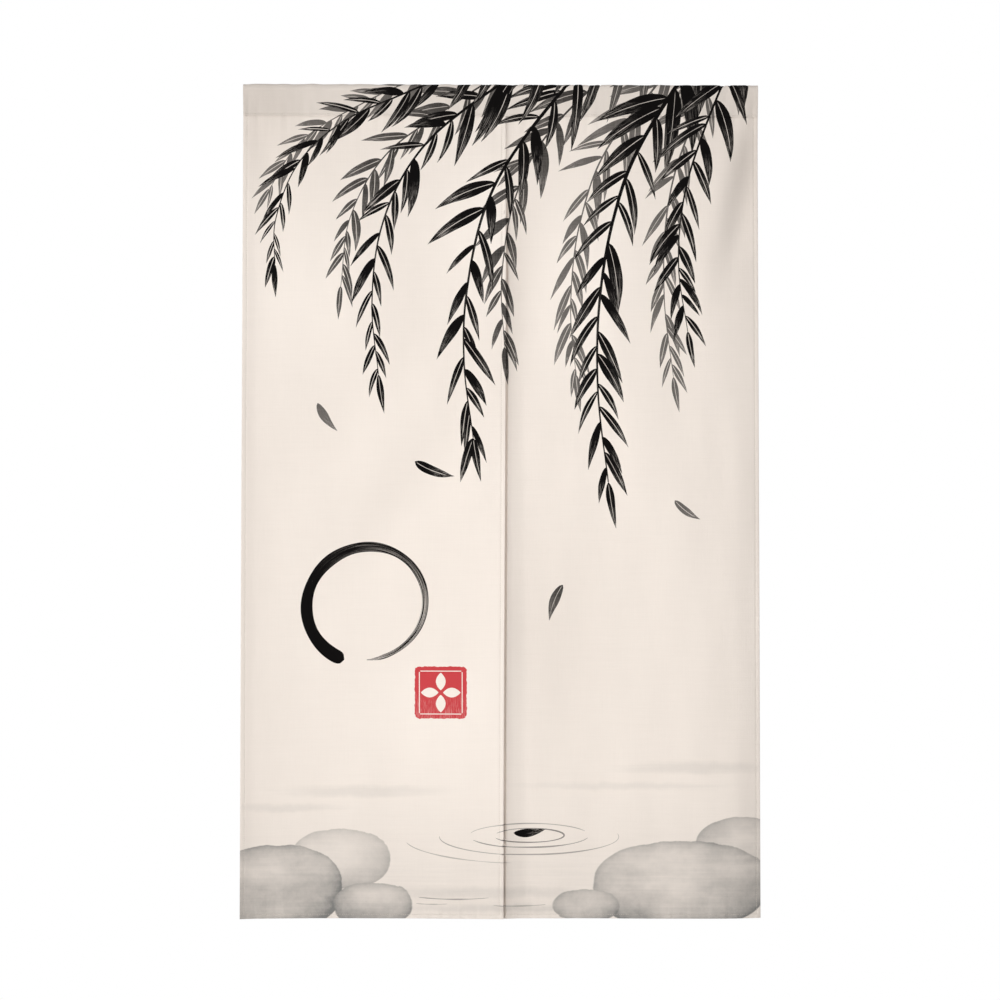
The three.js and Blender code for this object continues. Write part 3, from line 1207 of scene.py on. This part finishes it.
def stitches_along(place, line, side):
    """The points of stitches along a flat line on one side of a sheet, and their flat middles."""
    sides = np.full(len(line), float(side))
    spots = place(line[:, 0], line[:, 1], sides)
    travelled = distance_along(spots)
    count = int(travelled[-1] / STITCH_PITCH)
    middles = (np.arange(count) + 0.5) * travelled[-1] / count
    found = [np.interp(middles, travelled, column) for column in (*spots.T, *line.T)]
    at = np.stack(found[:3], axis=1)
    nearest = np.minimum(len(line) - 2, np.searchsorted(travelled, middles))
    along = unit(np.diff(spots, axis=0)[nearest])
    out = normals_at(place, line, sides)[nearest]
    up = unit(out - along * (out * along).sum(1)[:, None])
    beside = np.cross(along, up)
    points = []
    for share, thick, lift in STITCH_SHAPE:
        middle = at + along * STITCH * share + up * (STITCH_RISE * lift)
        for k in range(STITCH_SIDES):
            turn = 2 * math.pi * k / STITCH_SIDES
            around = math.cos(turn) * beside + math.sin(turn) * up
            points.append(middle + THREAD_RADIUS * thick * around)
    return np.stack(points, axis=1).reshape(-1, 3), flat_line(*found[3:])


def within(outline, points):
    """Whether each point lies inside the outline."""
    from_x, from_z = outline.T
    to_x, to_z = np.roll(outline, -1, axis=0).T
    x, z = points[:, :1], points[:, 1:]
    crosses = (from_z > z) != (to_z > z)
    rise = np.where(crosses, to_z - from_z, 1)
    at = from_x + (z - from_z) / rise * (to_x - from_x)
    return (crosses & (x < at)).sum(1) % 2 == 1


def print_under(points):
    """The ink and the red of the top stroke at each point."""
    ink, red = np.zeros(len(points)), np.zeros(len(points))
    for made in STROKES:
        hit = within(made.outline, points)
        ink[hit], _, _, red[hit] = made.look
    return ink, red


def stitch_piece(name, rows, material, from_flat=same):
    """All of one piece's stitches as one mesh. Each row is a place function, a line and a side."""
    points, flats = [], []
    for place, line, side in rows:
        made, flat = stitches_along(place, line, side)
        points.append(made)
        flats.append(from_flat(flat) + (0 if side == 0 else UNPRINTED))
    points = np.vstack(points)
    each = STITCH_SIDES * len(STITCH_SHAPE)
    starts = range(0, len(points), each)
    faces = [[start + i for i in face] for start in starts for face in stitch_faces()]
    obj = make_object(name, points * MM, faces, material)
    for number, values in zip(("ink", "red"), print_under(np.vstack(flats))):
        data = obj.data.attributes.new(number, "FLOAT", "POINT").data
        data.foreach_set("value", np.repeat(values, each))
    return obj


SEWN_FROM = 2
SIDE_POINTS = 400
HEM_POINTS = 160


def panel_stitch_rows(panel, place):
    """A panel's hem stitching: down both sides and along the bottom, on its face and its back."""
    bottom = -DROP + SEWN_AT
    z = np.linspace(top_edge(0) - SEWN_FROM, bottom, SIDE_POINTS)
    x = np.linspace(panel.low(-DROP) + SEWN_AT, panel.high(-DROP) - SEWN_AT, HEM_POINTS)
    lines = [
        flat_line(panel.low(z) + SEWN_AT, z),
        flat_line(panel.high(z) - SEWN_AT, z),
        flat_line(x, bottom),
    ]
    return [(place, line, side) for line in lines for side in (0, 1)]


# The tack at the slit's top: rows of short stitches across the two edges, from just above it down.
TACK_ROWS = 5
TACK_STEP = 1.1
TACK_ABOVE = 2
TACK_REACH = (-4.6, -0.6)
TACK_POINTS = 8


def tack_rows(place):
    x = SLIT_X_TOP + np.linspace(*TACK_REACH, TACK_POINTS)
    levels = [TACK_ABOVE - SLIT_TOP - k * TACK_STEP for k in range(TACK_ROWS)]
    return [(place, flat_line(x, z), 0) for z in levels]


# The height that shows at each place along the sleeve's cloth, as a fine table to look up.
TABLE_Z = np.linspace(LIP_Z, SLEEVE_GIRTH - WALL_LENGTH - ARC_LENGTH / 2, 2000)
TABLE_S = sleeve_height(TABLE_Z)


def to_sleeve(points):
    x, z = points.T
    return flat_line(x, sleeve_height(z + TOP_TILT * x))


def from_sleeve(points):
    x, s = points.T
    return flat_line(x, np.interp(s, TABLE_S, TABLE_Z) - TOP_TILT * x)


HEM_ALLOWANCE = 14


def declare(cloth, node, width, length, stitches):
    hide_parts(node)
    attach(cloth, "root")
    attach(stitches, "root")
    flat = (width * MM, length * MM)


def make_panel(side, panel, material, sewing):
    def place(x, z, face):
        return panel_place(panel, x, z, face)

    cloth = cloth_sheet(side + "_cloth", panel_grid(panel), place, material)
    rows = panel_stitch_rows(panel, place)
    if panel is LEFT:
        rows += tack_rows(place)
    stitches = stitch_piece(side + "_stitches", rows, sewing)
    width = mean_width(panel) + 2 * HEM_ALLOWANCE
    length = DROP - SLEEVE_HEIGHT + HEM_ALLOWANCE
    declare(cloth, side + "_panel", width, length, stitches)


SEAM_POINTS = 300


def make_sleeve(material, sewing):
    grid = sleeve_grid()
    cloth = cloth_sheet("sleeve_cloth", grid, sleeve_place, material, to_sleeve, from_sleeve)
    reach = SLEEVE_WIDTH / 2 - SEWN_FROM
    x = np.linspace(-reach, reach, SEAM_POINTS)
    seams = (SLEEVE_SEWN, SLEEVE_GIRTH - SLEEVE_SEWN)
    rows = [(sleeve_place, flat_line(x, s), 0) for s in seams]
    stitches = stitch_piece("sleeve_stitches", rows, sewing, from_sleeve)
    width = SLEEVE_WIDTH + 2 * HEM_ALLOWANCE
    declare(cloth, "rod_sleeve", width, SLEEVE_GIRTH, stitches)


# The stage, in metres: a pale floor well below the hem, soft lights, and white all round.
FLOOR_Z = -2.0
FLOOR_SIZE = 4.0
FLOOR_COLOURS = ((0.88, 0.87, 0.85), (0.93, 0.92, 0.9))
FLOOR_MOTTLE = 300
FLOOR_ROUGH = 0.85


def pale_floor():
    material, tree, shader = new_material("floor_paint")
    x, y, _ = millimetres(tree)
    share = noise(tree, vector(tree, x / FLOOR_MOTTLE, y / FLOOR_MOTTLE, 0.5), 3)
    blend(tree, share, *FLOOR_COLOURS).into(shader, "Base Color")
    shader.inputs["Roughness"].default_value = FLOOR_ROUGH
    half = FLOOR_SIZE / 2
    signs = ((-1, -1), (1, -1), (1, 1), (-1, 1))
    corners = [(half * x, half * y, FLOOR_Z) for x, y in signs]
    make_object("floor", corners, [(0, 1, 2, 3)], material)


# The lamps, all aimed at the curtain's middle: name, place, size and power.
LAMPS = (
    ("key", (-5.6, -3.0, -0.6), (3, 3), 172),
    ("fill", (4.4, -4.8, -0.4), (3.4, 3.4), 24),
    ("near", (-0.05, -1.3, -0.75), (0.8, 0.8), 6.3),
    ("top", (0, -1.5, 3), (2, 2), 32),
    ("behind", (1.6, 5, 0.2), (3, 3), 170),
)
LAMP_COLOUR = (1, 0.99, 0.975)
LAMP_AIM = Vector((0, 0, -0.62))


def soft_light(name, at, size, power):
    lamp = bpy.data.lights.new(name, "AREA")
    lamp.shape = "RECTANGLE"
    lamp.size, lamp.size_y = size
    lamp.energy = power
    lamp.color = LAMP_COLOUR
    obj = add_object(name, lamp)
    obj.location = at
    obj.rotation_euler = (LAMP_AIM - Vector(at)).to_track_quat("-Z", "Y").to_euler()


# How bright the world is to the camera, and as light.
WORLD_SEEN = 1.0
WORLD_LIGHT = 0.36


def studio():
    world = bpy.data.worlds.new("studio")
    bpy.context.scene.world = world
    world.use_nodes = True
    tree = world.node_tree
    ground = tree.nodes["Background"]
    path = tree.nodes.new("ShaderNodeLightPath")
    seen = Wire(tree, path.outputs["Is Camera Ray"])
    (seen * (WORLD_SEEN - WORLD_LIGHT) + WORLD_LIGHT).into(ground, "Strength")
    ground.inputs["Color"].default_value = (1, 1, 1, 1)
    for lamp in LAMPS:
        soft_light(*lamp)
    view = bpy.context.scene.view_settings
    view.view_transform = "Standard"
    view.look = "None"


# The camera looks straight on. The view's width is at the curtain.
CAMERA_X = -0.0008
CAMERA_Z = -0.6396
VIEW_WIDTH = 1.54
VIEW_END = 50
LENS = 140
SENSOR = 36


def camera():
    data = bpy.data.cameras.new("camera")
    data.lens = LENS
    data.sensor_width = SENSOR
    data.clip_end = VIEW_END
    obj = add_object("camera", data)
    obj.location = (CAMERA_X, -VIEW_WIDTH * LENS / SENSOR, CAMERA_Z)
    obj.rotation_euler = (math.pi / 2, 0, 0)
    bpy.context.scene.camera = obj


camera()
studio()
pale_floor()
SEWING = thread()
# The sleeve is given painted shade all over, and each piece its own patches of painted light and
# shade.
make_sleeve(printed_cloth("sleeve_print", SLEEVE_PAINTED_SHADE_ALL_OVER, SLEEVE_PAINTED_SHADE_SPOTS), SEWING)
make_panel("left", LEFT, printed_cloth("left_print", 1, LEFT_PAINTED_LIGHT_AND_SHADE), SEWING)
make_panel("right", RIGHT, printed_cloth("right_print", 1, RIGHT_PAINTED_LIGHT_AND_SHADE), SEWING)
